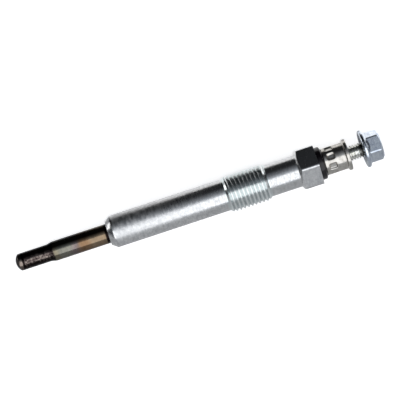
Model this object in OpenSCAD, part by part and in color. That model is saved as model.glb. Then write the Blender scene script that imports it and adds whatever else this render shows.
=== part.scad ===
// Diesel glow plug: a sheathed heater pressed into a turned steel body, with a screw terminal.
// The plug lies along X. The heater points to -X, the terminal nut to +X, and one hex flat is down.
// The origin is on the axis at the body's nose face. Lengths below run along the axis from there.

/* [Heater tube] */
// Outside diameter of the tube
tube_d = 5; // [4.4:0.1:5.8]
// Length of tube that stands out of the body
tube_reach = 24.25; // [16:0.25:32]
// Length of tube gripped inside the body
tube_grip = 21; // [14:0.5:26]
// Wall thickness of the tube
tube_wall = 0.5; // [0.3:0.05:0.6]
// Outside diameter of the swaged tip
tip_d = 4.35; // [4:0.05:4.4]
// Length of the swaged tip
tip_length = 8.7; // [6:0.1:11]
// Length of the taper from the tip to the full tube
taper_length = 1.3; // [0.6:0.1:3]
// Height of the dome on the tip
dome_height = 0.95; // [0.4:0.05:1.5]
// Thickness of the tip's end wall behind the dome
tip_floor = 0.45; // [0.3:0.05:1]

/* [Coils] */
// Mean diameter of both coils
coil_d = 2.2; // [2.15:0.01:2.3]
// Wire diameter of the heating coil
heating_wire = 0.4; // [0.3:0.02:0.42]
// Pitch of the heating coil
heating_pitch = 0.8; // [0.6:0.05:1.2]
// Wire diameter of the control coil
control_wire = 0.36; // [0.3:0.02:0.4]
// Pitch of the control coil
control_pitch = 1.05; // [0.7:0.05:1.6]
// Length of the control coil in front of the rod's pin
control_length = 12; // [8:0.5:16]
// Length of the control coil wound on the rod's pin
coil_on_pin = 3; // [1.5:0.5:5]

/* [Body] */
// Outside diameter of the shank
shank_d = 8.3; // [7.8:0.1:8.6]
// Outside diameter of the flat nose face
nose_d = 6.1; // [5.9:0.1:7]
// Included angle of the seat cone
seat_angle = 78; // [50:1:100]
// Length from the nose face to the thread
thread_start = 30.9; // [28:0.1:38]
// Major diameter of the thread
thread_d = 9.9; // [9.6:0.05:10.2]
// Pitch of the thread
thread_pitch = 1; // [0.75:0.25:1.25]
// Number of thread turns
thread_turns = 11; // [8:1:14]
// Length of plain neck between the thread and the hex
neck_length = 7.95; // [4:0.05:12]
// Hex size across its flats
hex_af = 10; // [9:0.5:12]
// Length of the hex
hex_length = 5.25; // [4:0.05:8]
// Diameter where the hex's lower chamfer begins
hex_face_d = 8.7; // [8.7:0.1:8.9]
// Diameter of the bore round the rod
rod_bore_d = 4.6; // [4.2:0.1:4.8]
// Diameter of the seal's counterbore
seal_bore_d = 6.2; // [5.8:0.1:6.6]
// Depth of the seal's counterbore
seal_bore_depth = 4.2; // [3:0.1:6]

/* [Insulator and seals] */
// Outside diameter of the insulating washer
washer_d = 8.4; // [7.8:0.1:9]
// Thickness of the insulating washer outside the body
washer_length = 1.6; // [1:0.05:3]
// Axial height of the washer's outer bevel
washer_bevel = 0.35; // [0.1:0.05:0.6]
// Radial width of the washer's outer bevel
washer_bevel_width = 0.6; // [0.2:0.05:0.8]
// Length of the soft plug in the tube's mouth
plug_length = 3; // [1.5:0.25:5]
// Thickness of the soft plug's rim
plug_rim = 0.6; // [0.3:0.05:1.2]

/* [Rod and stud] */
// Diameter of the rod
rod_d = 3.5; // [3.2:0.05:3.7]
// Diameter of the rod's pin inside the tube
pin_d = 1.8; // [1.5:0.05:1.8]
// Length of cone between the pin and the rod
pin_cone = 1; // [0.5:0.1:2]
// Major diameter of the stud's thread
stud_d = 3.92; // [3.8:0.02:4]
// Pitch of the stud's thread
stud_pitch = 0.7; // [0.5:0.1:0.8]
// How far the stud's end lies below the nut's outer face
stud_recess = 0.9; // [0.3:0.1:1.5]

/* [Terminal sleeve] */
// Outside diameter of the crimped sleeve
sleeve_d = 6.9; // [6.4:0.1:7.4]
// Length of the crimped sleeve
sleeve_length = 5.4; // [4.4:0.1:8]
// Outside diameter of the contact flange
contact_d = 8.05; // [7.6:0.05:9]
// Thickness of the contact flange
contact_length = 1.1; // [0.6:0.1:2]
// Axial height of the bevel on the contact flange's sleeve side
contact_bevel = 0.3; // [0.1:0.05:0.5]
// Number of crimp dimples
dimple_count = 8; // [4:1:9]
// Width of a dimple round the sleeve
dimple_width = 1.75; // [1:0.05:1.8]
// Length of a dimple along the sleeve
dimple_length = 2; // [1.2:0.05:2.2]
// Depth of a dimple
dimple_depth = 0.45; // [0.2:0.05:0.6]
// Distance from the washer to the dimples
dimple_offset = 0.85; // [0.4:0.05:1.6]
// Turn of the dimples about the axis
dimple_turn = 12.5; // [0:0.5:45]

/* [Nut] */
// Length of bare stud between the contact flange and the nut
bare_stud = 3.65; // [1:0.05:6]
// Nut size across its flats
nut_af = 6.95; // [6:0.05:8]
// Height of the nut
nut_height = 4.8; // [4:0.1:7]
// Outside diameter of the nut's flange
nut_flange_d = 9.7; // [9:0.1:11]
// Radius of the rounded rim of the nut's flange
nut_rim = 0.5; // [0.3:0.05:0.7]
// Height of the cone between the flange and the nut's hex
nut_collar = 0.95; // [0.2:0.05:1.2]
// Axial height of the chamfer on the nut's outer end
nut_chamfer = 0.7; // [0.3:0.05:1]
// Turn of the nut about the axis
nut_turn = 50.6; // [0:0.1:60]
// Number of serrations on the nut's bearing face
serration_count = 20; // [12:1:28]
// Depth of the serrations
serration_depth = 0.16; // [0.05:0.01:0.25]

/* [Fits] */
// Gap round pieces that are packed, moulded or sealed in place
packed_gap = 0.02; // [0.01:0.005:0.04]
// Radial gap between the stud and the pieces that pass over it
stud_gap = 0.05; // [0.03:0.01:0.1]
// Axial gap between an elastic seal and the faces that hold it
seal_gap = 0.05; // [0.02:0.01:0.15]

/* [Hidden] */
$fn = 96;

// Thread form shared by the body and the stud: 60 degree flanks and a narrow crest
flank_angle = 30;
thread_depth_share = 0.6134;
crest_share = 1 / 8;
// Steepness of a turned hex chamfer, measured from the end face
hex_chamfer_angle = 30;
// Edge break on the hex's upper end
hex_edge = 0.12;
// Chamfer at the mouth of a bore
mouth_chamfer = 0.2;
// Angle between the points of the rounded rim on the nut's flange
rim_step = 30;
// Where a dimple's front slope ends, as shares of its length and depth, and where it is deepest
dimple_front = 1 / 3;
dimple_front_depth = 3 / 4;
dimple_deepest = 0.8;
// Overlap that joins two shapes of one solid
weld = 0.2;
// Sides of a coil's wire, and steps in one of its turns
wire_sides = 8;
coil_steps = 16;

tube_r = tube_d / 2;
tip_r = tip_d / 2;
shank_r = shank_d / 2;
stud_r = stud_d / 2;
rod_r = rod_d / 2;
pin_r = pin_d / 2;
tip_end = -tube_reach;
tip_inside = tip_end + dome_height + tip_floor;
tube_inside_r = tube_r - tube_wall;
tip_inside_r = tip_r - tube_wall;
seat_length = (shank_r - nose_d / 2) / tan(seat_angle / 2);
thread_end = thread_start + thread_turns * thread_pitch;
hex_start = thread_end + neck_length;
body_end = hex_start + hex_length;
seal_floor = body_end - seal_bore_depth;
ring_section = seal_bore_d / 2 - rod_r - 2 * packed_gap;
ring_top = seal_floor + ring_section + 2 * seal_gap;
rod_bore_start = tube_grip + plug_rim + 2 * seal_gap;
plug_start = tube_grip - plug_length;
sleeve_start = body_end + washer_length;
contact_start = sleeve_start + sleeve_length;
contact_face = contact_start + contact_length;
nut_start = contact_face + bare_stud;
nut_end = nut_start + nut_height;
stud_end = nut_end - stud_recess;
// The stud's thread runs in from the seal's side of the washer, in whole turns
stud_turns = floor((stud_end - ring_top - seal_gap) / stud_pitch);
stud_start = stud_end - stud_turns * stud_pitch;
coil_join = tip_end + tip_length;
pin_tip = coil_join + control_length;
coil_r = coil_d / 2;
pocket_half = max(heating_wire, control_wire) / 2 + packed_gap;

// Turns a shape built up along Z so that it lies along X
module lay_down() {
    rotate([0, 90, 0]) children();
}

// Half outline of a thread from its root outward, one tooth for each turn
function thread_points(start, turns, pitch, crest_r) =
    let (root_r = crest_r - thread_depth_share * pitch)
    let (crest_half = crest_share * pitch / 2)
    let (flank = thread_depth_share * pitch * tan(flank_angle))
    [
        for (i = [0 : turns - 1], side = [-1, 1])
            let (middle = start + (i + 0.5) * pitch)
            let (foot = [root_r, middle + side * (crest_half + flank)])
            let (crest = [crest_r, middle + side * crest_half])
            each side < 0 ? [foot, crest] : [crest, foot]
    ];

// Threaded length with both ends cut to a 45 degree cone that starts from end_r
module thread_band(start, turns, pitch, crest_r, end_r) {
    finish = start + turns * pitch;
    rise = crest_r - end_r;
    intersection() {
        rotate_extrude()
            polygon(concat([[0, start]], thread_points(start, turns, pitch, crest_r), [[0, finish]]));
        rotate_extrude()
            polygon([
                [0, start], [end_r, start], [crest_r, start + rise],
                [crest_r, finish - rise], [end_r, finish], [0, finish]
            ]);
    }
}

// Hexagonal prism cut by a cone at each end, from face_r at low to end_r at low + length
module turned_hex(af, low, length, face_r, low_rise, end_r, end_rise) {
    corner_r = af / 2 / cos(30);
    intersection() {
        translate([0, 0, low]) rotate(30) cylinder(r = corner_r, h = length, $fn = 6);
        rotate_extrude()
            polygon([
                [0, low], [face_r, low], [corner_r, low + low_rise],
                [corner_r, low + length - end_rise], [end_r, low + length], [0, low + length]
            ]);
    }
}

// Helical wire of round section, closed at both ends
module wire_coil(wire_d, pitch, low, high) {
    turns = (high - low) / pitch;
    steps = ceil(turns * coil_steps);
    rings = [
        for (i = [0 : steps])
            let (turn = 360 * turns * i / steps)
            for (k = [0 : wire_sides - 1])
                let (side = 360 * k / wire_sides)
                let (r = coil_r + wire_d / 2 * cos(side))
                [r * cos(turn), r * sin(turn), low + pitch * turn / 360 + wire_d / 2 * sin(side)]
    ];
    walls = [
        for (i = [0 : steps - 1], k = [0 : wire_sides - 1])
            let (here = i * wire_sides + k)
            let (next = i * wire_sides + (k + 1) % wire_sides)
            each [[here, next, here + wire_sides], [next, next + wire_sides, here + wire_sides]]
    ];
    first_cap = [for (k = [wire_sides - 1 : -1 : 0]) k];
    last_cap = [for (k = [0 : wire_sides - 1]) steps * wire_sides + k];
    polyhedron(points = rings, faces = concat([first_cap], walls, [last_cap]));
}

// Turned steel body: nose, seat cone, shank, thread, neck and hex, bored through in steps
module body_shell() {
    corner_r = hex_af / 2 / cos(30);
    color([0.78, 0.79, 0.80]) lay_down() difference() {
        union() {
            rotate_extrude()
                polygon([
                    [0, 0], [nose_d / 2, 0], [shank_r, seat_length],
                    [shank_r, hex_start + weld], [0, hex_start + weld]
                ]);
            thread_band(thread_start, thread_turns, thread_pitch, thread_d / 2, shank_r);
            turned_hex(
                hex_af, hex_start, hex_length,
                hex_face_d / 2, (corner_r - hex_face_d / 2) * tan(hex_chamfer_angle),
                corner_r - hex_edge, hex_edge
            );
        }
        rotate_extrude()
            polygon([
                [0, -weld], [tube_r + mouth_chamfer + weld, -weld], [tube_r, mouth_chamfer],
                [tube_r, rod_bore_start], [rod_bore_d / 2, rod_bore_start], [rod_bore_d / 2, seal_floor],
                [seal_bore_d / 2, seal_floor], [seal_bore_d / 2, body_end + weld], [0, body_end + weld]
            ]);
    }
}

// Closed metal sheath: domed and swaged at the tip, open at the end inside the body
module heater_tube() {
    dome_radius = (tip_r * tip_r + dome_height * dome_height) / (2 * dome_height);
    full = tip_end + tip_length + taper_length;
    color([0.36, 0.31, 0.29]) lay_down() difference() {
        union() {
            intersection() {
                translate([0, 0, tip_end + dome_radius]) sphere(r = dome_radius);
                translate([0, 0, tip_end]) cylinder(r = tip_r, h = dome_height);
            }
            rotate_extrude()
                polygon([
                    [0, tip_end + dome_height], [tip_r, tip_end + dome_height], [tip_r, coil_join],
                    [tube_r, full], [tube_r, tube_grip], [0, tube_grip]
                ]);
        }
        rotate_extrude()
            polygon([
                [0, tip_inside], [tip_inside_r, tip_inside], [tip_inside_r, coil_join],
                [tube_inside_r, full], [tube_inside_r, tube_grip + weld], [0, tube_grip + weld]
            ]);
    }
}

// Front coil, welded to the end wall of the tip
module heating_coil() {
    color([0.62, 0.60, 0.57]) lay_down()
        wire_coil(heating_wire, heating_pitch, tip_inside + heating_wire / 2, coil_join - heating_wire / 2);
}

// Rear coil, from the heating coil to the last turns on the rod's pin
module control_coil() {
    color([0.70, 0.66, 0.60]) lay_down()
        wire_coil(
            control_wire, control_pitch,
            coil_join + control_wire / 2 + packed_gap, pin_tip + coil_on_pin
        );
}

// Packed powder round the coils and inside them
module magnesia_fill() {
    full = tip_end + tip_length + taper_length;
    pocket_end = pin_tip + coil_on_pin + pocket_half;
    color([0.93, 0.92, 0.89]) lay_down() {
        rotate_extrude()
            polygon([
                [coil_r + pocket_half, tip_inside], [tip_inside_r - packed_gap, tip_inside],
                [tip_inside_r - packed_gap, coil_join], [tube_inside_r - packed_gap, full],
                [tube_inside_r - packed_gap, plug_start], [pin_r + packed_gap, plug_start],
                [pin_r + packed_gap, pocket_end], [coil_r + pocket_half, pocket_end]
            ]);
        translate([0, 0, tip_inside])
            cylinder(r = coil_r - pocket_half, h = pin_tip - tip_inside);
    }
}

// Soft plug that closes the tube's mouth, with a rim over the tube's end
module tube_plug() {
    color([0.30, 0.16, 0.13]) lay_down() rotate_extrude()
        polygon([
            [pin_r + packed_gap, plug_start], [tube_inside_r - packed_gap, plug_start],
            [tube_inside_r - packed_gap, tube_grip], [tube_r - packed_gap, tube_grip],
            [tube_r - packed_gap, tube_grip + plug_rim], [pin_r + packed_gap, tube_grip + plug_rim]
        ]);
}

// One steel rod: a thin pin in the tube, a plain middle and the stud's thread
module terminal_rod() {
    rod_start = rod_bore_start + seal_gap;
    color([0.72, 0.68, 0.58]) lay_down() {
        rotate_extrude()
            polygon([
                [0, pin_tip], [pin_r, pin_tip], [pin_r, rod_start], [rod_r, rod_start + pin_cone],
                [rod_r, stud_start + weld], [0, stud_start + weld]
            ]);
        thread_band(stud_start, stud_turns, stud_pitch, stud_r, stud_r - thread_depth_share * stud_pitch);
    }
}

// Round elastic ring in the counterbore, on the rod
module seal_ring() {
    color([0.10, 0.10, 0.10]) lay_down() rotate_extrude()
        translate([rod_r + packed_gap + ring_section / 2, seal_floor + seal_gap + ring_section / 2])
            circle(d = ring_section);
}

// Black washer with a spigot that reaches down to the seal ring
module insulating_washer() {
    bore_r = stud_r + stud_gap;
    spigot_r = seal_bore_d / 2 - packed_gap;
    color([0.09, 0.08, 0.09]) lay_down() rotate_extrude()
        polygon([
            [bore_r, ring_top], [spigot_r, ring_top], [spigot_r, body_end], [washer_d / 2, body_end],
            [washer_d / 2, sleeve_start - washer_bevel],
            [washer_d / 2 - washer_bevel_width, sleeve_start], [bore_r, sleeve_start]
        ]);
}

// Round nut with a contact flange, locked on the stud by a ring of crimp dimples
module terminal_sleeve() {
    dimple_start = sleeve_start + dimple_offset;
    sleeve_r = sleeve_d / 2;
    color([0.74, 0.72, 0.67]) lay_down() difference() {
        union() {
            translate([0, 0, sleeve_start]) cylinder(r = sleeve_r, h = sleeve_length + weld);
            rotate_extrude()
                polygon([
                    [0, contact_start], [sleeve_r, contact_start],
                    [contact_d / 2, contact_start + contact_bevel],
                    [contact_d / 2, contact_face], [0, contact_face]
                ]);
        }
        translate([0, 0, sleeve_start - weld])
            cylinder(r = stud_r + stud_gap, h = sleeve_length + contact_length + 2 * weld);
        for (i = [0 : dimple_count - 1])
            rotate(dimple_turn + 360 * i / dimple_count) translate([0, dimple_width / 2, 0])
                rotate([90, 0, 0]) linear_extrude(dimple_width)
                    polygon([
                        [sleeve_r + weld, dimple_start], [sleeve_r, dimple_start],
                        [
                            sleeve_r - dimple_front_depth * dimple_depth,
                            dimple_start + dimple_front * dimple_length
                        ],
                        [sleeve_r - dimple_depth, dimple_start + dimple_deepest * dimple_length],
                        [sleeve_r, dimple_start + dimple_length],
                        [sleeve_r + weld, dimple_start + dimple_length]
                    ]);
    }
}

// Hex nut with a wide serrated flange, run up the stud away from the contact flange
module flange_nut() {
    corner_r = nut_af / 2 / cos(30);
    rim_r = nut_flange_d / 2 - nut_rim;
    collar_top = 2 * nut_rim + nut_collar;
    bore_r = stud_r + stud_gap;
    end_r = nut_af / 2 - mouth_chamfer;
    mouth_r = bore_r + mouth_chamfer;
    groove_side = serration_depth * sqrt(2);
    rim_points = [
        for (a = [-90 : rim_step : 90])
            [rim_r + nut_rim * cos(a), nut_rim + nut_rim * sin(a)]
    ];
    color([0.70, 0.74, 0.78]) lay_down() translate([0, 0, nut_start]) rotate(nut_turn + 30) difference() {
        union() {
            rotate_extrude()
                polygon(concat([[0, 0]], rim_points, [[end_r, collar_top], [0, collar_top]]));
            turned_hex(
                nut_af, nut_rim, nut_height - nut_rim, corner_r - nut_rim, nut_rim, end_r, nut_chamfer
            );
        }
        rotate_extrude()
            polygon([
                [0, -weld], [mouth_r + weld, -weld], [mouth_r, 0], [bore_r, mouth_chamfer],
                [bore_r, nut_height - mouth_chamfer], [mouth_r, nut_height],
                [mouth_r + weld, nut_height + weld], [0, nut_height + weld]
            ]);
        for (i = [0 : serration_count - 1])
            rotate(360 * i / serration_count) translate([mouth_r + weld, 0, 0]) rotate([45, 0, 0])
                translate([0, -groove_side / 2, -groove_side / 2])
                    cube([nut_flange_d, groove_side, groove_side]);
    }
}

body_shell();
heater_tube();
heating_coil();
control_coil();
magnesia_fill();
tube_plug();
terminal_rod();
seal_ring();
insulating_washer();
terminal_sleeve();
flange_nut();
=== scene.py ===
import math

import bpy
from bpy.props import FloatProperty, FloatVectorProperty, IntProperty, PointerProperty
from mathutils import Matrix, Vector


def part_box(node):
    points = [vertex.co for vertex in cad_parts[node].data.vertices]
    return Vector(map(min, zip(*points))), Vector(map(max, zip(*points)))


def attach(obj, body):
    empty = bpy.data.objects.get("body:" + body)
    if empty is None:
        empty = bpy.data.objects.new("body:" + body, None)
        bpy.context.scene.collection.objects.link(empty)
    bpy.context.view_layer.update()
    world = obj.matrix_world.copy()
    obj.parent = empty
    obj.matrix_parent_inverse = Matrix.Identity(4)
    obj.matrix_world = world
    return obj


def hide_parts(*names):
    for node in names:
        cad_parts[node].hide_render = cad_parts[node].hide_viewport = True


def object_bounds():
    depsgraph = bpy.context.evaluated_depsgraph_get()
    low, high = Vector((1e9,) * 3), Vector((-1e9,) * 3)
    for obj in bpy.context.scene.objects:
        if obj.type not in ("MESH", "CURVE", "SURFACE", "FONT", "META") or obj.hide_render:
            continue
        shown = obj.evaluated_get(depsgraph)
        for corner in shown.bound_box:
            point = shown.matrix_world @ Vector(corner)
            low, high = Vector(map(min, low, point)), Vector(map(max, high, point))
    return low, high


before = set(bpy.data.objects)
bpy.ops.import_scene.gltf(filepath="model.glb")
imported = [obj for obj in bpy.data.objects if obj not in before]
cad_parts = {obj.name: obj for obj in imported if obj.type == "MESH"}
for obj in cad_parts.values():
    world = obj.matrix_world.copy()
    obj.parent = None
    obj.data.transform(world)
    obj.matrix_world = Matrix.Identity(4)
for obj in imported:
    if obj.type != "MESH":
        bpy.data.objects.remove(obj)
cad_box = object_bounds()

bl_info = {
    "name": "Diesel glow plug",
    "version": (1, 0, 0),
    "blender": (4, 5, 0),
    "location": "3D View > Sidebar > Glow plug",
    "description": "Dresses the solids of a diesel glow plug for a studio picture",
    "category": "Object",
}

MM = 0.001
PLUG_BODY = "plug"
NUT_BODY = "nut"

# Points closer than this are one point, in metres
SAME_POINT = 1e-7
# Sizes that differ by less than this are the same, in metres
ROUNDING = 1e-6
# Facets round the dimpled sleeve, the wide pieces, the slim pieces and the rod's hidden core
SLEEVE_SIDES = 256
WIDE_SIDES = 128
SLIM_SIDES = 96
CORE_SIDES = 64
# Edges that turn by more than this are eased
EASED_ANGLE = math.radians(25)
# Half the angle between two corners of a hexagon
HALF_SIXTH = math.pi / 6
# How far the blank of a hex stands clear of its corners
CORNER_CLEARANCE = 0.05 * MM

# Depth of a thread and radius of its round crests, in pitches
THREAD_DEPTH = 0.6134
CREST_RADIUS = 0.17
# How far a round crest runs to each side and how far the flanks lean, in degrees
CREST_SWEEP = 60
FLANK_LEAN = 30
# The flanks meet the root at this share of the depth
FOOT_SHARE = 0.97
# Pitches wound before a bar, an uneven number so that the end cuts miss the winding's own points
LEAD_IN = 1.719
# Turns wound in all beyond a bar's own
SPARE_TURNS = 4
# How far the blank that trims a thread stands clear of its crests, in pitches
CREST_CLEARANCE = 0.01
# Shifts, in facets, of that blank and of the core that a thread is joined to
BLANK_SHIFT = 0.37
CORE_SHIFT = 0.21

# Where the solids begin and end along the plug's axis, and how far out they reach
TUBE_LOW, TUBE_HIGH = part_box("heater_tube")
BODY_LOW, BODY_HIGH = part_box("body_shell")
WASHER_LOW, WASHER_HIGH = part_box("insulating_washer")
SLEEVE_LOW, SLEEVE_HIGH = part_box("terminal_sleeve")
ROD_LOW, ROD_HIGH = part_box("terminal_rod")
NUT_LOW, NUT_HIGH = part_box("flange_nut")


def linear(code):
    """Gives the linear colour of an sRGB hex value."""
    shares = [int(code[i:i + 2], 16) / 255 for i in (0, 2, 4)]
    return [s / 12.92 if s <= 0.04045 else ((s + 0.055) / 1.055) ** 2.4 for s in shares]


def length(name, description, millimetres):
    """Describes a length that a user may change, from its size in millimetres."""
    return FloatProperty(
        name=name, description=description, default=millimetres * MM, unit="LENGTH", precision=5
    )


def angle(name, description, degrees):
    """Describes an angle that a user may change, from its size in degrees."""
    return FloatProperty(name=name, description=description, default=math.radians(degrees), subtype="ANGLE")


def colour(name, description, code):
    """Describes a colour that a user may change, from its sRGB hex value."""
    return FloatVectorProperty(
        name=name, description=description, default=linear(code), subtype="COLOR", min=0, max=1
    )


class GlowPlugSizes(bpy.types.PropertyGroup):
    shank_r: length("Shank radius", "Outside radius of the plain body", 4.15)
    nose_r: length("Nose radius", "Outer radius of the flat nose face", 3.05)
    seat_length: length("Seat length", "Length of the seat cone", 1.358)
    rod_bore_start: length("Rod bore start", "Where the tube's bore steps down to the rod's bore", 21.7)
    rod_bore_r: length("Rod bore radius", "Radius of the bore round the rod", 2.3)
    seal_bore_r: length("Seal bore radius", "Radius of the counterbore under the hex", 3.1)
    seal_bore_depth: length("Seal bore depth", "Depth of the counterbore under the hex", 4.2)
    mouth_chamfer: length("Mouth chamfer", "Chamfer round the tube at the nose and at the nut's bore", 0.2)
    thread_start: length("Thread start", "Where the body's thread begins", 30.9)
    thread_r: length("Thread radius", "Crest radius of the body's thread", 4.95)
    thread_pitch: length("Thread pitch", "Pitch of the body's thread", 1.0)
    thread_turns: IntProperty(name="Thread turns", description="Turns on the body", default=11, min=3)
    hex_length: length("Hex length", "Length of the hex", 5.25)
    hex_face_r: length("Hex face radius", "Radius where the hex's lower chamfer begins", 4.35)
    tip_r: length("Tip radius", "Outside radius of the swaged tip", 2.175)
    tip_length: length("Tip length", "Length of the swaged tip", 8.7)
    taper_length: length("Taper length", "Length of the taper behind the tip", 1.3)
    dome_height: length("Dome height", "Height of the dome on the tip", 0.95)
    tip_floor: length("Tip floor", "End wall behind the dome", 0.45)
    tube_wall: length("Tube wall", "Wall of the heater tube", 0.5)
    washer_spigot_r: length("Spigot radius", "Radius of the washer's spigot", 3.08)
    washer_bevel: length("Washer bevel", "Axial height of the washer's bevel", 0.35)
    washer_bevel_width: length("Washer bevel width", "Radial width of the washer's bevel", 0.6)
    sleeve_r: length("Sleeve radius", "Outside radius of the crimped sleeve", 3.45)
    contact_length: length("Contact flange", "Thickness of the contact flange", 1.1)
    contact_bevel: length("Contact bevel", "Height of the bevel on the flange's sleeve side", 0.3)
    dimple_count: IntProperty(name="Dimples", description="Crimp dimples round the sleeve", default=8, min=3)
    dimple_width: length("Dimple width", "Width of a dimple round the sleeve", 1.75)
    dimple_length: length("Dimple length", "Length of a dimple along the sleeve", 2.0)
    dimple_depth: length("Dimple depth", "Depth of a dimple", 0.45)
    dimple_offset: length("Dimple offset", "From the washer to the dimples", 0.85)
    dimple_turn: angle("Dimple turn", "Turn of the dimples about the axis", 12.5)
    stud_pitch: length("Stud pitch", "Pitch of the stud's thread", 0.7)
    rod_r: length("Rod radius", "Radius of the plain rod", 1.75)
    pin_r: length("Pin radius", "Radius of the rod's pin inside the tube", 0.9)
    pin_cone: length("Pin cone", "Length of cone between the pin and the rod", 1.0)
    stud_gap: length("Stud gap", "Gap between the stud and the pieces on it", 0.05)
    nut_af: length("Nut size", "Nut size across its flats", 6.95)
    nut_turn: angle("Nut turn", "Turn of the nut's corners about the axis", 50.6)
    nut_rim: length("Nut rim", "Radius of the rounded rim on the nut's flange", 0.5)
    nut_collar: length("Nut collar", "Height of the cone over the nut's flange", 0.95)
    nut_chamfer: length("Nut chamfer", "Axial height of the nut's outer chamfer", 0.7)
    serration_count: IntProperty(name="Serrations", description="Grooves under the nut", default=20, min=6)
    serration_depth: length("Serration depth", "Depth of the grooves under the nut", 0.16)


class GlowPlugColours(bpy.types.PropertyGroup):
    zinc_light: colour("Light zinc", "Brightest plate on the body", "D4D4D4")
    zinc_dark: colour("Dark zinc", "Cloudy plate on the body", "B1B2B3")
    passivate: colour("Passivate", "Pale film over the body's thread", "EAEEEE")
    # Painted shade that darkens the roots of the body's thread
    root_shade: colour("Soil", "Dull film in the thread's roots", "6C8280")
    nickel_light: colour("Light nickel", "Brightest plate on the sleeve", "C6C3BD")
    nickel_dark: colour("Dark nickel", "Cloudy plate on the sleeve", "A8A49D")
    stud_light: colour("Light stud", "Brightest plate on the stud", "F6F6F2")
    stud_dark: colour("Dark stud", "Cloudy plate on the stud", "E0E0DA")
    # Painted shade: this colour darkens the stud's roots and the thread beside the nut's flange
    grease: colour("Grease", "Dark grease on the stud under the nut", "37342E")
    nut_light: colour("Light nut", "Brightest plate on the nut", "D8DEE4")
    nut_dark: colour("Dark nut", "Cloudy plate on the nut", "A9B2C1")
    oxide: colour("Oxide", "Black scale on the heater's tip", "1A1413")
    burnt: colour("Burnt scale", "Greyer scale on the heater's tip", "5C524F")
    flake: colour("Bare flake", "Palest specks where the tip's scale has flaked", "A0948A")
    straw: colour("Straw tint", "First temper colour behind the tip", "7E7665")
    silver: colour("Silver tint", "Palest temper colour on the tube", "7A786F")
    plum: colour("Plum tint", "Purple temper colour on the tube", "746967")
    gold: colour("Gold tint", "Golden temper colour on the tube", "80664E")
    tan: colour("Tan tint", "Temper colour near the body", "887661")
    phenolic: colour("Washer", "Black moulding of the washer", "0D090D")
    elastomer: colour("Elastomer", "Black rubber inside the plug", "1A1818")
    magnesia: colour("Magnesia", "White powder inside the tube", "EEECE6")
    wire_light: colour("Light wire", "Brightest part of the coils' wire", "A8A092")
    wire_dark: colour("Dark wire", "Dullest part of the coils' wire", "8C8478")
    board: colour("Floor", "White board under the plug", "E4E4E4")
    studio: colour("Studio", "Cool light from the walls of the studio", "ECF4FF")


class GlowPlugView(bpy.types.PropertyGroup):
    elevation: angle("Elevation", "Camera's height over the floor", 62)
    roll: angle("Roll", "Rise of the plug's axis in the picture", 18.25)
    distance: length("Distance", "From the camera to the plug", 472.5)
    aim: length("Aim", "Point on the axis that the camera looks at", 24.65)
    across: length("Across", "How far the camera stands to the left of its aim", 0.5)
    above: length("Above", "How far the camera stands above its aim", 0.6)
    lens: FloatProperty(name="Lens", description="Camera's focal length", default=170.1, unit="CAMERA")


# Modelling

def begin_piece(name):
    """Starts an empty mesh at the origin, with nothing else selected, in edit mode."""
    if bpy.context.mode != "OBJECT":
        bpy.ops.object.mode_set(mode="OBJECT")
    bpy.ops.object.select_all(action="DESELECT")
    bpy.ops.object.add(type="MESH", location=(0, 0, 0))
    piece = bpy.context.object
    piece.name = name
    piece.data.name = name
    bpy.ops.object.mode_set(mode="EDIT")
    return piece


def end_piece():
    """Merges doubled points, turns the faces outwards and leaves edit mode."""
    bpy.ops.mesh.select_all(action="SELECT")
    bpy.ops.mesh.remove_doubles(threshold=SAME_POINT)
    bpy.ops.mesh.normals_make_consistent(inside=False)
    bpy.ops.object.mode_set(mode="OBJECT")


def turn(name, outline, sides, ring=False, shift=0):
    """Turns an outline of (x, radius) points about the axis. A ring's outline runs back to its start.

    A shift, in facets, keeps the solid's edges off those of another that it is joined to or cut with.
    """
    piece = begin_piece(name)
    x, r = outline[0]
    bpy.ops.mesh.primitive_circle_add(
        vertices=sides, radius=r, location=(x, 0, 0), rotation=(0, math.pi / 2, 0)
    )
    bpy.ops.transform.rotate(value=shift * 2 * math.pi / sides, orient_axis="X", center_override=(x, 0, 0))
    for next_x, next_r in outline[1:] + (outline[:1] if ring else []):
        bpy.ops.mesh.extrude_region_move(TRANSFORM_OT_translate={"value": (next_x - x, 0, 0)})
        bpy.ops.transform.resize(value=(1, next_r / r, next_r / r), center_override=(next_x, 0, 0))
        x, r = next_x, next_r
    if not ring:
        bpy.ops.mesh.select_all(action="SELECT")
        bpy.ops.mesh.fill_holes(sides=0)
    end_piece()
    return piece


def select_only(piece):
    """Makes a piece the only selected and the active object."""
    bpy.ops.object.select_all(action="DESELECT")
    piece.select_set(True)
    bpy.context.view_layer.objects.active = piece


def apply_modifier(piece, kind, **settings):
    """Adds a modifier with its settings and applies it."""
    select_only(piece)
    modifier = piece.modifiers.new(kind.lower(), kind)
    for name, value in settings.items():
        setattr(modifier, name, value)
    bpy.ops.object.modifier_apply(modifier=modifier.name)


def ease_edges(piece, width, segments=2):
    """Rounds every edge that turns sharply."""
    apply_modifier(
        piece, "BEVEL", width=width, segments=segments, limit_method="ANGLE", angle_limit=EASED_ANGLE
    )


def combine(piece, tool, operation):
    """Joins a tool solid to a piece, cuts it away or keeps what both share, and removes the tool."""
    reach = max(point.co.x for point in tool.data.vertices)
    apply_modifier(piece, "BOOLEAN", object=tool, operation=operation, solver="EXACT")
    bpy.data.objects.remove(tool)
    if not piece.data.polygons:
        raise RuntimeError(f"{piece.name} has no faces after {operation}")
    if operation == "UNION" and max(point.co.x for point in piece.data.vertices) < reach - ROUNDING:
        raise RuntimeError(f"{piece.name} lost what was joined to it")


def smooth(piece, degrees=30):
    """Shades a piece smooth, apart from edges that turn by more than the angle."""
    select_only(piece)
    bpy.ops.object.shade_smooth_by_angle(angle=math.radians(degrees))


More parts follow.
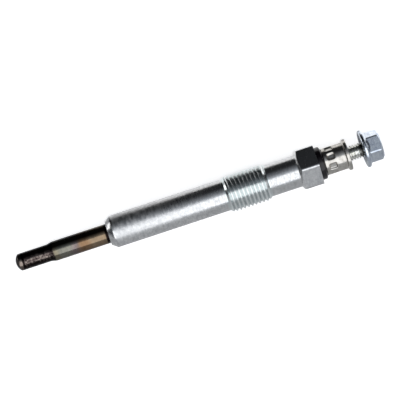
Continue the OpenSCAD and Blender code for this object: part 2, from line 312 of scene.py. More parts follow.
def threaded_bar(name, start, finish, pitch, crest_r, steps):
    """Winds one round-crested tooth of a right-hand thread along the axis, and cuts the bar square."""
    depth, crest = THREAD_DEPTH * pitch, CREST_RADIUS * pitch
    flank = (depth - crest / 2) * math.tan(math.radians(FLANK_LEAN))
    foot = pitch / 2 - crest * math.sin(math.radians(CREST_SWEEP)) - flank
    foot_r = crest_r - FOOT_SHARE * depth
    tooth = [(0, crest_r - depth), (foot, foot_r)]
    for degrees in range(-CREST_SWEEP, CREST_SWEEP + 1, 20):
        tilt = math.radians(degrees)
        tooth.append((pitch / 2 + crest * math.sin(tilt), crest_r - crest + crest * math.cos(tilt)))
    tooth += [(pitch - foot, foot_r), (pitch, crest_r - depth)]
    bar = begin_piece(name)
    low = start - LEAD_IN * pitch
    bpy.ops.mesh.primitive_plane_add(size=pitch, location=(low, 0, tooth[0][1]))
    bpy.ops.mesh.merge(type="CENTER")
    for (x, r), (next_x, next_r) in zip(tooth, tooth[1:]):
        bpy.ops.mesh.extrude_vertices_move(TRANSFORM_OT_translate={"value": (next_x - x, 0, next_r - r)})
    bpy.ops.object.mode_set(mode="OBJECT")
    turns = math.ceil((finish - start) / pitch) + SPARE_TURNS
    apply_modifier(
        bar, "SCREW", axis="X", angle=2 * math.pi, screw_offset=pitch, iterations=turns,
        steps=steps, render_steps=steps, use_merge_vertices=True, merge_threshold=SAME_POINT,
    )
    # The turns are joined before the cuts, which otherwise leave slivers open at the roots
    bpy.ops.object.mode_set(mode="EDIT")
    bpy.ops.mesh.select_all(action="SELECT")
    bpy.ops.mesh.remove_doubles(threshold=SAME_POINT)
    for x, facing in ((start, -1), (finish, 1)):
        bpy.ops.mesh.select_all(action="SELECT")
        bpy.ops.mesh.bisect(
            plane_co=(x, 0, 0), plane_no=(facing, 0, 0), use_fill=True, clear_outer=True, threshold=SAME_POINT
        )
    end_piece()
    return bar


def thread_band(name, start, finish, pitch, crest_r, end_r, inner_r, sides):
    """Cuts a threaded length whose ends are turned down to end_r, and bores it if inner_r is set."""
    band = threaded_bar(name, start - pitch / 2, finish + pitch / 2, pitch, crest_r, sides)
    over = crest_r + CREST_CLEARANCE * pitch
    rise = over - end_r
    outline = [(start, end_r), (start + rise, over), (finish - rise, over), (finish, end_r)]
    if inner_r:
        outline += [(finish, inner_r), (start, inner_r)]
    blank = turn("thread_blank", outline, sides, ring=bool(inner_r), shift=BLANK_SHIFT)
    combine(band, blank, "INTERSECT")
    return band


def corner_radius(across_flats):
    """Gives how far a hexagon's corners lie from its middle."""
    return across_flats / 2 / math.cos(HALF_SIXTH)


def hex_ring(name, low, high, across_flats, corner_turn, edge, outline):
    """Makes a hexagonal bar inside an outline, with one eased corner corner_turn round from the top."""
    piece = begin_piece(name)
    bpy.ops.mesh.primitive_circle_add(
        vertices=6, radius=corner_radius(across_flats), location=(low, 0, 0), rotation=(0, math.pi / 2, 0)
    )
    bpy.ops.transform.rotate(value=HALF_SIXTH - corner_turn, orient_axis="X", center_override=(low, 0, 0))
    bpy.ops.mesh.extrude_region_move(TRANSFORM_OT_translate={"value": (high - low, 0, 0)})
    bpy.ops.mesh.select_all(action="SELECT")
    bpy.ops.mesh.fill_holes(sides=0)
    end_piece()
    ease_edges(piece, edge, segments=3)
    combine(piece, turn("hex_blank", outline, WIDE_SIDES, ring=True), "INTERSECT")
    return piece


# Materials

def add_node(tree, kind, inputs=(), stops=(), **settings):
    """Adds a node with its settings, its inputs or links, in order or by key, and a ramp's stops."""
    node = tree.nodes.new(kind)
    for name, value in settings.items():
        setattr(node, name, value)
    for key, value in inputs.items() if isinstance(inputs, dict) else enumerate(inputs):
        if isinstance(value, bpy.types.NodeSocket):
            tree.links.new(value, node.inputs[key])
        else:
            node.inputs[key].default_value = value
    for i, (position, shade) in enumerate(stops):
        stop = node.color_ramp.elements[i] if i < 2 else node.color_ramp.elements.new(position)
        stop.position = position
        stop.color = (*shade, 1)
    return node


def begin_material(name):
    """Starts a material and gives its node tree, its shader and the places on the piece that wears it."""
    material = bpy.data.materials.new(name)
    material.use_nodes = True
    tree = material.node_tree
    place = add_node(tree, "ShaderNodeTexCoord").outputs["Object"]
    return material, tree, tree.nodes["Principled BSDF"], place


def link_skin(tree, shader, tone, gloss, bump):
    """Gives a shader its colour, its roughness and its relief."""
    tree.links.new(tone, shader.inputs["Base Color"])
    tree.links.new(gloss, shader.inputs["Roughness"])
    tree.links.new(bump, shader.inputs["Normal"])


def dress(piece, material, body=None, node=None):
    """Gives a piece its only material, puts it under its body and hides the solid that it stands for."""
    piece.data.materials.clear()
    piece.data.materials.append(material)
    if body:
        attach(piece, body)
        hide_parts(node)


def plated_steel(name, light, dark, roughness, streak_mm, cloud_mm, haze=None, films_and_shades=()):
    """Zinc or nickel plate on turned steel: lines round the axis under a bright, slightly cloudy skin.

    A haze of (start, full, finish, amount) roughens a stretch by handling, and is gone at its finish. A
    film of (start, finish, inner radius, outer radius, shade, cover) lies smooth in a thread, densest at
    the inner radius. A dark film is painted shade.
    """
    material, tree, shader, place = begin_material(name)
    x = add_node(tree, "ShaderNodeSeparateXYZ", [place]).outputs["X"]
    # Turning lines are far finer than a pixel, so they are drawn coarse enough to show
    along, around = 1 / (streak_mm * MM), 1 / (4 * streak_mm * MM)
    rings = add_node(tree, "ShaderNodeMapping", {"Vector": place, "Scale": (along, around, around)})
    lines = add_node(
        tree, "ShaderNodeTexNoise",
        {"Vector": rings.outputs["Vector"], "Scale": 1, "Detail": 3, "Roughness": 0.6},
    ).outputs["Fac"]
    clouds = add_node(
        tree, "ShaderNodeTexNoise",
        {"Vector": place, "Scale": 1 / (cloud_mm * MM), "Detail": 5, "Roughness": 0.65, "Distortion": 0.6},
    ).outputs["Fac"]
    line_share, cloud_share = 0.4, 0.6
    cloudy = add_node(tree, "ShaderNodeMath", [clouds, cloud_share], operation="MULTIPLY").outputs["Value"]
    mottle = add_node(
        tree, "ShaderNodeMath", [lines, line_share, cloudy], operation="MULTIPLY_ADD"
    ).outputs["Value"]
    tone = add_node(
        tree, "ShaderNodeValToRGB", [mottle], stops=[(0.36, dark), (0.6, light)]
    ).outputs["Color"]
    # The cloudy plate is duller than the bright plate
    gloss = add_node(
        tree, "ShaderNodeMapRange", [mottle, 0.35, 0.65, 1.3 * roughness, 0.8 * roughness]
    ).outputs["Result"]
    if haze:
        first, full, finish, amount = haze
        rise = add_node(tree, "ShaderNodeMapRange", [x, first, full, 0, amount]).outputs["Result"]
        fall = add_node(tree, "ShaderNodeMapRange", [x, full, finish, amount, 0]).outputs["Result"]
        handled = add_node(tree, "ShaderNodeMath", [rise, fall], operation="MINIMUM").outputs["Value"]
        # Handling scuffs some of the turning lines more than others
        scuffs = add_node(tree, "ShaderNodeMapRange", [lines, 0.4, 0.6, 0.3, 1.7]).outputs["Result"]
        gloss = add_node(
            tree, "ShaderNodeMath", [handled, scuffs, gloss], operation="MULTIPLY_ADD"
        ).outputs["Value"]
    # A film's ends fade out over this length
    soft = 0.4 * MM
    for first, finish, inner_r, outer_r, shade, cover in films_and_shades:
        flat = add_node(
            tree, "ShaderNodeVectorMath", [place, (0, 1, 1)], operation="MULTIPLY"
        ).outputs["Vector"]
        radius = add_node(tree, "ShaderNodeVectorMath", [flat], operation="LENGTH").outputs["Value"]
        begun = add_node(tree, "ShaderNodeMapRange", [x, first - soft, first, 0, 1]).outputs["Result"]
        left = add_node(tree, "ShaderNodeMapRange", [x, finish, finish + soft, 1, 0]).outputs["Result"]
        inside = add_node(tree, "ShaderNodeMath", [begun, left], operation="MINIMUM").outputs["Value"]
        deep = add_node(tree, "ShaderNodeMapRange", [radius, inner_r, outer_r, cover, 0]).outputs["Result"]
        coat_and_shade = add_node(tree, "ShaderNodeMath", [inside, deep], operation="MULTIPLY").outputs["Value"]
        tone = add_node(
            tree, "ShaderNodeMix", {0: coat_and_shade, 6: tone, 7: (*shade, 1)}, data_type="RGBA"
        ).outputs[2]
        gloss = add_node(tree, "ShaderNodeMix", {0: coat_and_shade, 2: gloss, 3: 0.75 * roughness}).outputs[0]
    bump = add_node(
        tree, "ShaderNodeBump", {"Height": lines, "Strength": 0.6, "Distance": 0.02 * streak_mm * MM}
    ).outputs["Normal"]
    link_skin(tree, shader, tone, gloss, bump)
    shader.inputs["Metallic"].default_value = 1
    return material


def tinted_sheath(tint, tip, nose):
    """Alloy tinted by its own heat: black scale at the tip, then temper colours up to the body."""
    material, tree, shader, place = begin_material("heat_tinted_alloy")
    spot = add_node(tree, "ShaderNodeSeparateXYZ", [place]).outputs
    x, y, z = spot["X"], spot["Y"], spot["Z"]
    wander = add_node(
        tree, "ShaderNodeTexNoise", {"Vector": place, "Scale": 1 / (2.5 * MM), "Detail": 3}
    ).outputs["Fac"]
    # The noise is 0.5 on average, so the tints wander round their places by half this length
    drift = 2.6 * MM
    moved = add_node(
        tree, "ShaderNodeMath", [wander, drift, x], operation="MULTIPLY_ADD"
    ).outputs["Value"]
    share = add_node(
        tree, "ShaderNodeMapRange", [moved, tip + drift / 2, nose + drift / 2, 0, 1]
    ).outputs["Result"]
    # Distance of each temper colour from the nose, in millimetres, with the ramp's two ends first
    zones = [
        (-24.2, tint.straw), (0.0, tint.tan), (-13.4, tint.straw), (-12.4, tint.silver), (-10.3, tint.silver),
        (-9.0, tint.plum), (-8.6, tint.plum), (-7.2, tint.gold), (-5.6, tint.gold), (-4.2, tint.tan),
    ]
    reach = nose - tip
    bands = add_node(
        tree, "ShaderNodeValToRGB", [share], stops=[((at * MM - tip) / reach, shade) for at, shade in zones]
    ).outputs["Color"]
    # Flakes of scale, a third of a millimetre across, break up the sheen of the tip
    flakes = add_node(
        tree, "ShaderNodeTexNoise", {"Vector": place, "Scale": 1 / (0.6 * MM), "Detail": 6, "Roughness": 0.75}
    ).outputs["Fac"]
    # The dome's shoulder is painted lighter as a painted highlight, up to a dark line of painted shade, and
    # the tip is worn beyond it. The scale is whole at its end, painted shade darkens it low on the sides,
    # and it flakes off in patches
    bare_and_painted_light = flakes
    for value, start, finish, first, last in (
        (x, tip + 0.6 * MM, tip + 0.9 * MM, -0.1, 0.16),
        (x, tip + 1.6 * MM, tip + 1.9 * MM, 0, -0.32),
        (x, tip + 2.1 * MM, tip + 2.4 * MM, 0, 0.18),
        (x, -15.6 * MM, -14.9 * MM, 0, -0.12),
        (z, 0.6 * MM, 1.4 * MM, -0.14, 0),
        (wander, 0.3, 0.7, -0.07, 0.07),
    ):
        part = add_node(tree, "ShaderNodeMapRange", [value, start, finish, first, last]).outputs["Result"]
        bare_and_painted_light = add_node(tree, "ShaderNodeMath", [bare_and_painted_light, part]).outputs["Value"]
    # The flaked colour holds that painted highlight and painted shade along with the real flakes
    flaked = add_node(
        tree, "ShaderNodeValToRGB", [bare_and_painted_light],
        stops=[(0.43, tint.oxide), (0.72, tint.flake), (0.53, tint.burnt)],
    ).outputs["Color"]
    # The scale ends in a ragged edge behind the tip, and the tube is darkened to the oxide colour
    # in a thin ring against the body
    ragged = add_node(
        tree, "ShaderNodeMath", [wander, 1.0 * MM, x], operation="MULTIPLY_ADD"
    ).outputs["Value"]
    at_tip = add_node(
        tree, "ShaderNodeMapRange", [ragged, -13.85 * MM, -13.6 * MM, 1, 0]
    ).outputs["Result"]
    at_body = add_node(tree, "ShaderNodeMapRange", [x, -0.85 * MM, -0.6 * MM, 0, 1]).outputs["Result"]
    scaled = add_node(tree, "ShaderNodeMix", {0: at_tip, 6: bands, 7: flaked}, data_type="RGBA").outputs[2]
    skin = add_node(
        tree, "ShaderNodeMix", {0: at_body, 6: scaled, 7: (*tint.oxide, 1)}, data_type="RGBA"
    ).outputs[2]
    # The underside and the far side are darkened as painted shade, and smears run round the tube
    under = add_node(tree, "ShaderNodeMapRange", [z, -1.2 * MM, 0.9 * MM, 0.4, 0.95]).outputs["Result"]
    far = add_node(tree, "ShaderNodeMapRange", [y, -0.75 * MM, -0.2 * MM, 1, 0.35]).outputs["Result"]
    painted_shade = add_node(tree, "ShaderNodeMath", [under, far], operation="MULTIPLY").outputs["Value"]
    along, around = 1 / (0.9 * MM), 1 / (2.5 * MM)
    streaks = add_node(tree, "ShaderNodeMapping", {"Vector": place, "Scale": (along, around, around)})
    smears = add_node(
        tree, "ShaderNodeTexNoise", {"Vector": streaks.outputs["Vector"], "Scale": 1, "Detail": 4}
    ).outputs["Fac"]
    smudge = add_node(tree, "ShaderNodeMapRange", [smears, 0.3, 0.7, 0.75, 1.1]).outputs["Result"]
    shade_and_smears = add_node(tree, "ShaderNodeMath", [painted_shade, smudge], operation="MULTIPLY").outputs["Value"]
    shaded = add_node(
        tree, "ShaderNodeMix", {0: 1.0, 6: skin, 7: shade_and_smears}, data_type="RGBA", blend_type="MULTIPLY"
    ).outputs[2]
    gloss = add_node(tree, "ShaderNodeMapRange", [flakes, 0.3, 0.7, 0.2, 0.11]).outputs["Result"]
    bump = add_node(
        tree, "ShaderNodeBump", {"Height": flakes, "Strength": 0.5, "Distance": 0.015 * MM}
    ).outputs["Normal"]
    link_skin(tree, shader, shaded, gloss, bump)
    shader.inputs["Metallic"].default_value = 1
    return material


def moulded_skin(name, shade, roughness, specular):
    """Moulded plastic, rubber or pressed powder: an even skin with a fine grain that breaks up its sheen."""
    material, tree, shader, place = begin_material(name)
    grain = add_node(
        tree, "ShaderNodeTexNoise", {"Vector": place, "Scale": 1 / (0.4 * MM), "Detail": 2}
    ).outputs["Fac"]
    darker = [0.8 * s for s in shade]
    tone = add_node(tree, "ShaderNodeValToRGB", [grain], stops=[(0.3, darker), (0.7, shade)]).outputs["Color"]
    gloss = add_node(
        tree, "ShaderNodeMapRange", [grain, 0, 1, 0.8 * roughness, 1.2 * roughness]
    ).outputs["Result"]
    bump = add_node(
        tree, "ShaderNodeBump", {"Height": grain, "Strength": 0.2, "Distance": 0.01 * MM}
    ).outputs["Normal"]
    link_skin(tree, shader, tone, gloss, bump)
    shader.inputs["Specular IOR Level"].default_value = specular
    return material


# Pieces

class GLOWPLUG_OT_body(bpy.types.Operator):
    """Turn the steel body, cut its thread and add its hex"""
    bl_idname = "glow_plug.body"
    bl_label = "Body"

    def execute(self, context):
        size = context.scene.glow_plug_sizes
        tube_r = TUBE_HIGH[2]
        end = BODY_HIGH[0]
        hex_start = end - size.hex_length
        seal_floor = end - size.seal_bore_depth
        thread_end = size.thread_start + size.thread_turns * size.thread_pitch
        # The core stops short of the hex's end, and the thread and the hex reach in under its skin
        core_end = end - 0.1 * MM
        inside = size.shank_r - 0.3 * MM
        # Rings beside the thread and the hex keep the long shank's shading even where they join it
        beside = 0.5 * MM
        stations = [
            size.seat_length + beside, size.thread_start - beside, thread_end + beside, hex_start - beside,
        ]
        body = turn("turned_body", [
            (0, tube_r + size.mouth_chamfer), (0, size.nose_r), (size.seat_length, size.shank_r),
            *[(x, size.shank_r) for x in stations],
            (core_end, size.shank_r), (core_end, size.seal_bore_r), (seal_floor, size.seal_bore_r),
            (seal_floor, size.rod_bore_r), (size.rod_bore_start, size.rod_bore_r),
            (size.rod_bore_start, tube_r), (size.mouth_chamfer, tube_r),
        ], WIDE_SIDES, ring=True)
        ease_edges(body, width=0.08 * MM)
        thread = thread_band(
            "body_thread", size.thread_start, thread_end, size.thread_pitch, size.thread_r,
            end_r=size.shank_r - 0.05 * MM, inner_r=inside, sides=WIDE_SIDES,
        )
        combine(body, thread, "UNION")
        combine(body, self.hexagon(hex_start, end, inside, size.hex_face_r), "UNION")
        smooth(body)
        tint = context.scene.glow_plug_colours
        root_r = size.thread_r - THREAD_DEPTH * size.thread_pitch
        # The passivate covers the crests nearly as well as the roots, and painted shade darkens only the
        # roots
        films_and_shades = [
            (size.thread_start, thread_end, root_r, 2 * size.thread_r, tint.passivate, 0.85),
            (size.thread_start, thread_end, root_r, root_r + 0.3 * MM, tint.root_shade, 0.32),
        ]
        zinc = plated_steel(
            "zinc_plated_steel", tint.zinc_light, tint.zinc_dark,
            roughness=0.22, streak_mm=0.45, cloud_mm=0.7,
            haze=(size.seat_length, size.seat_length + MM, size.thread_start, 0.2), films_and_shades=films_and_shades,
        )
        dress(body, zinc, PLUG_BODY, "body_shell")
        return {"FINISHED"}

    @staticmethod
    def hexagon(start, end, inside, face_r):
        """Makes the hex with its lower chamfer and its small upper bevel, hollow up to the core."""
        across = BODY_HIGH[2] - BODY_LOW[2]
        corner_r = corner_radius(across) + CORNER_CLEARANCE
        chamfer_lean = math.radians(30)
        chamfer = (corner_r - face_r) * math.tan(chamfer_lean)
        bevel, bevel_width = 0.15 * MM, 0.2 * MM
        outline = [
            (start, inside), (start, face_r), (start + chamfer, corner_r),
            (end - bevel, corner_r), (end, corner_r - bevel_width), (end, inside),
        ]
        return hex_ring("hex", start - MM, end + MM, across, HALF_SIXTH, edge=0.36 * MM, outline=outline)


class GLOWPLUG_OT_heater(bpy.types.Operator):
    """Turn the closed heater tube with its domed and swaged tip"""
    bl_idname = "glow_plug.heater"
    bl_label = "Heater tube"

    def execute(self, context):
        size = context.scene.glow_plug_sizes
        tip, grip = TUBE_LOW[0], TUBE_HIGH[0]
        tube_r = TUBE_HIGH[2]
        taper = tip + size.tip_length
        full = taper + size.taper_length
        floor = tip + size.dome_height + size.tip_floor
        dome_r = (size.tip_r ** 2 + size.dome_height ** 2) / (2 * size.dome_height)
        widest = math.asin(size.tip_r / dome_r)
        steps = 12
        dome = [
            (tip + dome_r * (1 - math.cos(widest * i / steps)), dome_r * math.sin(widest * i / steps))
            for i in range(1, steps + 1)
        ]
        tube = turn("heater_sheath", dome + [
            (taper, size.tip_r), (full, tube_r), (grip, tube_r), (grip, tube_r - size.tube_wall),
            (full, tube_r - size.tube_wall), (taper, size.tip_r - size.tube_wall),
            (floor, size.tip_r - size.tube_wall),
        ], SLIM_SIDES)
        ease_edges(tube, width=0.15 * MM, segments=3)
        smooth(tube)
        alloy = tinted_sheath(context.scene.glow_plug_colours, tip, BODY_LOW[0])
        dress(tube, alloy, PLUG_BODY, "heater_tube")
        return {"FINISHED"}


class GLOWPLUG_OT_washer(bpy.types.Operator):
    """Turn the black insulating washer and its spigot"""
    bl_idname = "glow_plug.washer"
    bl_label = "Insulating washer"

    def execute(self, context):
        size = context.scene.glow_plug_sizes
        low, high = WASHER_LOW[0], WASHER_HIGH[0]
        r = WASHER_HIGH[2]
        bore = ROD_HIGH[2] + size.stud_gap
        end = BODY_HIGH[0]
        washer = turn("moulded_washer", [
            (low, bore), (low, size.washer_spigot_r), (end, size.washer_spigot_r), (end, r),
            (high - size.washer_bevel, r), (high, r - size.washer_bevel_width), (high, bore),
        ], WIDE_SIDES, ring=True)
        ease_edges(washer, width=0.12 * MM, segments=3)
        smooth(washer)
        tint = context.scene.glow_plug_colours
        black = moulded_skin("moulded_phenolic", tint.phenolic, roughness=0.2, specular=0.4)
        dress(washer, black, PLUG_BODY, "insulating_washer")
        return {"FINISHED"}


class GLOWPLUG_OT_sleeve(bpy.types.Operator):
    """Turn the terminal sleeve and press its ring of crimp dimples"""
    bl_idname = "glow_plug.sleeve"
    bl_label = "Terminal sleeve"

    def execute(self, context):
        size = context.scene.glow_plug_sizes
        low, high = SLEEVE_LOW[0], SLEEVE_HIGH[0]
        contact_r = SLEEVE_HIGH[2]
        bore = ROD_HIGH[2] + size.stud_gap
        contact = high - size.contact_length
        edge = 0.12 * MM
        # The wall has rings at about this spacing, for the dimples to be pressed into
        step = 0.09 * MM
        count = math.ceil((contact - low - edge) / step)
        wall = [(low + edge + (contact - low - edge) * i / count, size.sleeve_r) for i in range(count + 1)]
        sleeve = turn("crimped_sleeve", [
            (low, bore), (low, size.sleeve_r - edge), *wall,
            (contact + size.contact_bevel, contact_r), (high - edge, contact_r),
            (high, contact_r - edge), (high, bore),
        ], SLEEVE_SIDES, ring=True)
        first = low + size.dimple_offset
        for point in sleeve.data.vertices:
            x, y, z = point.co
            r = math.hypot(y, z)
            if abs(r - size.sleeve_r) > ROUNDING or x > contact - step:
                continue
            left = 1 - self.pressed_depth(size, x - first, math.atan2(y, z), r) / r
            point.co.y *= left
            point.co.z *= left
        smooth(sleeve, degrees=40)
        tint = context.scene.glow_plug_colours
        nickel = plated_steel(
            "nickel_plated_steel", tint.nickel_light, tint.nickel_dark,
            roughness=0.21, streak_mm=0.5, cloud_mm=1.5,
        )
        dress(sleeve, nickel, PLUG_BODY, "terminal_sleeve")
        return {"FINISHED"}

    @staticmethod
    def pressed_depth(size, x, bearing, r):
        """Depth of a dimple at a place on the sleeve: a flat floor, round corners and a steeper back."""
        spacing = 2 * math.pi / size.dimple_count
        aside = (bearing + size.dimple_turn + spacing / 2) % spacing - spacing / 2
        # The sleeve's skin is drawn in a little all round the punch
        lip, corner = 0.12 * MM, 0.6 * MM
        middle = size.dimple_length / 2
        along = abs(x - middle) - (middle + lip - corner)
        across = abs(aside) * r - (size.dimple_width / 2 + lip - corner)
        inset = corner - math.hypot(max(0, along), max(0, across))
        # The slope from the rim to the floor grows narrower towards the back
        front_slope, narrowing = 0.6 * MM, 0.26 * MM
        slope = front_slope - narrowing * max(0, min(1, x / size.dimple_length))
        share = max(0, min(1, inset / slope))
        floor_depth = r - (r - size.dimple_depth) / math.cos(aside)
        return floor_depth * share * share * (3 - 2 * share)


class GLOWPLUG_OT_rod(bpy.types.Operator):
    """Turn the terminal rod and cut its stud thread"""
    bl_idname = "glow_plug.rod"
    bl_label = "Terminal rod"

    def execute(self, context):
        size = context.scene.glow_plug_sizes
        pin, end = ROD_LOW[0], ROD_HIGH[0]
        stud_r = ROD_HIGH[2]
        shoulder = size.rod_bore_start + size.stud_gap
        # The thread begins inside the washer's spigot, and the plain rod reaches into it
        thread_start = WASHER_LOW[0] + 0.5 * MM
        rod = turn("terminal_stud", [
            (pin, size.pin_r), (shoulder, size.pin_r), (shoulder + size.pin_cone, size.rod_r),
            (thread_start + MM, size.rod_r),
        ], CORE_SIDES, shift=CORE_SHIFT)
        root_r = stud_r - THREAD_DEPTH * size.stud_pitch
        thread = thread_band(
            "stud_thread", thread_start, end, size.stud_pitch, stud_r,
            end_r=root_r - 0.1 * MM, inner_r=0, sides=SLIM_SIDES,
        )
        combine(rod, thread, "UNION")
        smooth(rod)
        tint = context.scene.glow_plug_colours
        # Painted shade darkens the roots a little, and the whole thread beside the nut's flange
        shade_reach = 0.6 * MM
        films_and_shades = [
            (SLEEVE_HIGH[0], NUT_LOW[0], root_r, root_r + 0.25 * MM, tint.grease, 0.1),
            (NUT_LOW[0] - shade_reach, NUT_LOW[0] + shade_reach, 2 * stud_r, 3 * stud_r, tint.grease, 0.8),
        ]
        steel = plated_steel(
            "thin_nickel_plated_steel", tint.stud_light, tint.stud_dark,
            roughness=0.16, streak_mm=0.4, cloud_mm=2, films_and_shades=films_and_shades,
        )
        dress(rod, steel, PLUG_BODY, "terminal_rod")
        return {"FINISHED"}


class GLOWPLUG_OT_nut(bpy.types.Operator):
    """Make the flange nut with its rounded rim, collar, hex and serrated face"""
    bl_idname = "glow_plug.nut"
    bl_label = "Flange nut"

    def execute(self, context):
        size = context.scene.glow_plug_sizes
        low, high = NUT_LOW[0], NUT_HIGH[0]
        rim = size.nut_rim
        rim_r = NUT_HIGH[2] - rim
        bore = ROD_HIGH[2] + size.stud_gap
        chamfer = size.mouth_chamfer
        collar_top = low + 2 * rim + size.nut_collar
        end_r = size.nut_af / 2 - chamfer
        arc = [
            (low + rim - rim * math.cos(math.radians(a)), rim_r + rim * math.sin(math.radians(a)))
            for a in range(0, 181, 15)
        ]
        nut = turn("serrated_flange_nut", [
            (low, bore + chamfer), *arc, (collar_top, end_r), (collar_top, bore), (low + chamfer, bore),
        ], WIDE_SIDES, ring=True)
        # The hex starts inside the flange
        corner_r = corner_radius(size.nut_af) + CORNER_CLEARANCE
        hex_low = low + 1.2 * rim
        outline = [
            (hex_low, bore), (hex_low, corner_r), (high - size.nut_chamfer, corner_r),
            (high, end_r), (high, bore + chamfer), (high - chamfer, bore),
        ]
        hexagon = hex_ring(
            "nut_hex", low + rim, high + MM, size.nut_af, size.nut_turn, edge=0.28 * MM, outline=outline
        )
        combine(nut, hexagon, "UNION")
        combine(nut, self.grooves(size, low, bore + 2 * chamfer, rim_r + rim / 2), "DIFFERENCE")
        smooth(nut)
        tint = context.scene.glow_plug_colours
        zinc = plated_steel(
            "blue_zinc_plated_steel", tint.nut_light, tint.nut_dark,
            roughness=0.2, streak_mm=0.5, cloud_mm=1.2,
        )
        dress(nut, zinc, NUT_BODY, "flange_nut")
        return {"FINISHED"}

    @staticmethod
    def grooves(size, low, inner_r, outer_r):
        """Makes the ring of radial V bars that cut the serrations into the bearing face."""
        bars = begin_piece("serration_bars")
        bpy.ops.mesh.primitive_cylinder_add(
            vertices=3, radius=2 * size.serration_depth, depth=outer_r - inner_r,
            location=(low - size.serration_depth, 0, (inner_r + outer_r) / 2), rotation=(0, 0, -math.pi / 2),
        )
        for _ in range(size.serration_count - 1):
            bpy.ops.mesh.duplicate()
            bpy.ops.transform.rotate(
                value=2 * math.pi / size.serration_count, orient_axis="X", center_override=(low, 0, 0)
            )
        end_piece()
        return bars


class GLOWPLUG_OT_inner(bpy.types.Operator):
    """Give the pieces inside the plug their finishes"""
    bl_idname = "glow_plug.inner"
    bl_label = "Inner pieces"

    def execute(self, context):
        tint = context.scene.glow_plug_colours
        wire = plated_steel(
            "drawn_resistance_wire", tint.wire_light, tint.wire_dark,
            roughness=0.35, streak_mm=0.3, cloud_mm=1,
        )
        rubber = moulded_skin("moulded_elastomer", tint.elastomer, roughness=0.6, specular=0.4)
        powder = moulded_skin("packed_magnesia", tint.magnesia, roughness=0.8, specular=0.3)
        finishes = {
            "heating_coil": wire, "control_coil": wire, "magnesia_fill": powder,
            "tube_plug": rubber, "seal_ring": rubber,
        }
        for name, material in finishes.items():
            dress(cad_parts[name], material)
        return {"FINISHED"}


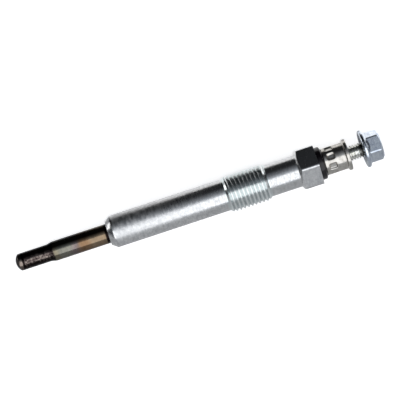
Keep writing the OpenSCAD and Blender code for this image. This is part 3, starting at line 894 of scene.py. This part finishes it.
class GLOWPLUG_OT_stage(bpy.types.Operator):
    """Lay the floor, hang the lights and set up the camera"""
    bl_idname = "glow_plug.stage"
    bl_label = "Stage"

    def execute(self, context):
        scene = context.scene
        view = scene.glow_plug_view
        tint = scene.glow_plug_colours
        bpy.ops.object.select_all(action="DESELECT")
        bpy.ops.mesh.primitive_plane_add(size=6, location=(0, 0, cad_box[0][2]))
        floor = context.object
        floor.name = "studio_floor"
        floor.data.materials.append(self.white_board(tint.board))
        scene.world = self.dim_studio(tint.studio)
        self.hang_softbox(
            "front_softbox", bearing=0, height_angle=36.5, distance=0.6, width=2.2, height=0.65,
            brightness=1.3, aside=0.35,
        )
        # This card puts sparks on the cones and crests that face the heater
        self.hang_softbox(
            "far_left_card", bearing=-117, height_angle=7, distance=0.8, width=0.34, height=0.22,
            brightness=2.4,
        )
        # This card stops short of the heater's side, so that the top of the tube stays dark
        self.hang_softbox(
            "far_card", bearing=180, height_angle=9, distance=0.8, width=0.55, height=0.25,
            brightness=1.15, aside=0.23,
        )

        bpy.ops.object.camera_add()
        camera = context.object
        camera.data.lens = view.lens
        camera.data.sensor_width = 36
        camera.data.clip_start = 0.01
        back = Vector((0, -math.cos(view.elevation), math.sin(view.elevation)))
        level_up = Vector((0, math.sin(view.elevation), math.cos(view.elevation)))
        level_right = Vector((1, 0, 0))
        right = math.cos(view.roll) * level_right - math.sin(view.roll) * level_up
        up = math.sin(view.roll) * level_right + math.cos(view.roll) * level_up
        place = Vector((view.aim, 0, 0)) + back * view.distance - right * view.across + up * view.above
        camera.matrix_world = Matrix.Translation(place) @ Matrix((right, up, back)).transposed().to_4x4()
        scene.camera = camera
        scene.view_settings.view_transform = "Standard"
        return {"FINISHED"}

    @staticmethod
    def white_board(shade):
        """Matte white board, lit up for the camera, and behind the body and nut for their reflections."""
        material, tree, shader, place = begin_material("matte_white_board")
        spot = add_node(tree, "ShaderNodeSeparateXYZ", [place]).outputs
        x, y = spot["X"], spot["Y"]
        far_side = add_node(tree, "ShaderNodeMapRange", [y, -5 * MM, 10 * MM, 0, 1]).outputs["Result"]
        body_side = add_node(tree, "ShaderNodeMapRange", [x, -12 * MM, 0, 0, 1]).outputs["Result"]
        behind = add_node(
            tree, "ShaderNodeMath", [far_side, body_side], operation="MULTIPLY"
        ).outputs["Value"]
        # The board is bright as far as the sleeve's end, dull behind the stud and the nut's flange, and
        # bright again beyond them
        sleeve_end, nut_low = SLEEVE_HIGH[0], NUT_LOW[0]
        sleeve_side = add_node(
            tree, "ShaderNodeMapRange", [x, sleeve_end, sleeve_end + MM, 0.78, 0]
        ).outputs["Result"]
        nut_side = add_node(
            tree, "ShaderNodeMapRange", [x, nut_low + 2 * MM, nut_low + 3.5 * MM, 0, 0.95]
        ).outputs["Result"]
        shone = add_node(tree, "ShaderNodeMath", [sleeve_side, nut_side]).outputs["Value"]
        bright = add_node(tree, "ShaderNodeMath", [behind, shone], operation="MULTIPLY").outputs["Value"]
        path = add_node(tree, "ShaderNodeLightPath").outputs
        mirrored = add_node(
            tree, "ShaderNodeMath", [path["Is Glossy Ray"], path["Is Transmission Ray"]]
        ).outputs["Value"]
        glow = add_node(tree, "ShaderNodeMath", [mirrored, bright], operation="MULTIPLY").outputs["Value"]
        camera_glow = 0.8
        lift = add_node(
            tree, "ShaderNodeMath", [path["Is Camera Ray"], camera_glow, glow], operation="MULTIPLY_ADD"
        ).outputs["Value"]
        fibres = add_node(
            tree, "ShaderNodeTexNoise", {"Vector": place, "Scale": 1 / (4 * MM), "Detail": 2}
        ).outputs["Fac"]
        gloss = add_node(tree, "ShaderNodeMapRange", [fibres, 0, 1, 0.85, 0.95]).outputs["Result"]
        tree.links.new(gloss, shader.inputs["Roughness"])
        tree.links.new(lift, shader.inputs["Emission Strength"])
        shader.inputs["Base Color"].default_value = (*shade, 1)
        shader.inputs["Emission Color"].default_value = (1, 1, 1, 1)
        return material

    @staticmethod
    def dim_studio(shade):
        """Dark studio, lighter towards the front softbox, and white where the camera sees past the floor."""
        world = bpy.data.worlds.new("dim_studio")
        world.use_nodes = True
        tree = world.node_tree
        towards = add_node(tree, "ShaderNodeTexCoord").outputs["Generated"]
        lamp = math.radians(40)
        front = add_node(
            tree, "ShaderNodeVectorMath", [towards, (0, -math.cos(lamp), math.sin(lamp))],
            operation="DOT_PRODUCT",
        ).outputs["Value"]
        # A halo inside the spill softens the edge of the softbox where the metal mirrors it
        spill = add_node(tree, "ShaderNodeMapRange", [front, 0.3, 0.7, 0.02, 0.25]).outputs["Result"]
        halo = add_node(tree, "ShaderNodeMapRange", [front, 0.7, 0.85, 0, 0.36]).outputs["Result"]
        lit = add_node(tree, "ShaderNodeMath", [spill, halo]).outputs["Value"]
        x = add_node(tree, "ShaderNodeSeparateXYZ", [towards]).outputs["X"]
        aside = add_node(tree, "ShaderNodeMath", [x], operation="ABSOLUTE").outputs["Value"]
        walls = add_node(tree, "ShaderNodeMapRange", [aside, 0.5, 1, 0, 0.06]).outputs["Result"]
        dim = add_node(tree, "ShaderNodeMath", [lit, walls]).outputs["Value"]
        seen = add_node(tree, "ShaderNodeLightPath").outputs["Is Camera Ray"]
        strength = add_node(tree, "ShaderNodeMix", {0: seen, 2: dim, 3: 1.0}).outputs[0]
        background = tree.nodes["Background"]
        tree.links.new(strength, background.inputs["Strength"])
        background.inputs["Color"].default_value = (*shade, 1)
        return world

    @staticmethod
    def hang_softbox(name, bearing, height_angle, distance, width, height, brightness, aside=0):
        """Hangs a soft panel that faces the plug. Its bearing runs from the camera's side towards the nut."""
        bpy.ops.object.light_add(type="AREA", location=(0, 0, 0))
        panel = bpy.context.object
        panel.name = name
        panel.data.shape = "RECTANGLE"
        panel.data.size = width
        panel.data.size_y = height
        panel.data.energy = math.pi * width * height * brightness
        turned, raised = math.radians(bearing), math.radians(height_angle)
        direction = Vector((
            math.sin(turned) * math.cos(raised), -math.cos(turned) * math.cos(raised), math.sin(raised),
        ))
        panel.location = direction * distance + Vector((aside, 0, 0))
        panel.rotation_euler = direction.to_track_quat("Z", "Y").to_euler()
        panel.visible_camera = False


class GLOWPLUG_PT_panel(bpy.types.Panel):
    bl_idname = "GLOWPLUG_PT_panel"
    bl_label = "Glow plug"
    bl_space_type = "VIEW_3D"
    bl_region_type = "UI"
    bl_category = "Glow plug"

    def draw(self, context):
        for step in STEPS:
            self.layout.operator(step.bl_idname)


STEPS = (
    GLOWPLUG_OT_body, GLOWPLUG_OT_heater, GLOWPLUG_OT_washer, GLOWPLUG_OT_sleeve,
    GLOWPLUG_OT_rod, GLOWPLUG_OT_nut, GLOWPLUG_OT_inner, GLOWPLUG_OT_stage,
)
CLASSES = (GlowPlugSizes, GlowPlugColours, GlowPlugView, *STEPS, GLOWPLUG_PT_panel)


def register():
    for cls in CLASSES:
        bpy.utils.register_class(cls)
    bpy.types.Scene.glow_plug_sizes = PointerProperty(type=GlowPlugSizes)
    bpy.types.Scene.glow_plug_colours = PointerProperty(type=GlowPlugColours)
    bpy.types.Scene.glow_plug_view = PointerProperty(type=GlowPlugView)


def unregister():
    del bpy.types.Scene.glow_plug_view
    del bpy.types.Scene.glow_plug_colours
    del bpy.types.Scene.glow_plug_sizes
    for cls in reversed(CLASSES):
        bpy.utils.unregister_class(cls)


def main():
    register()
    bpy.ops.glow_plug.body()
    bpy.ops.glow_plug.heater()
    bpy.ops.glow_plug.washer()
    bpy.ops.glow_plug.sleeve()
    bpy.ops.glow_plug.rod()
    bpy.ops.glow_plug.nut()
    bpy.ops.glow_plug.inner()
    bpy.ops.glow_plug.stage()


if __name__ == "__main__":
    main()
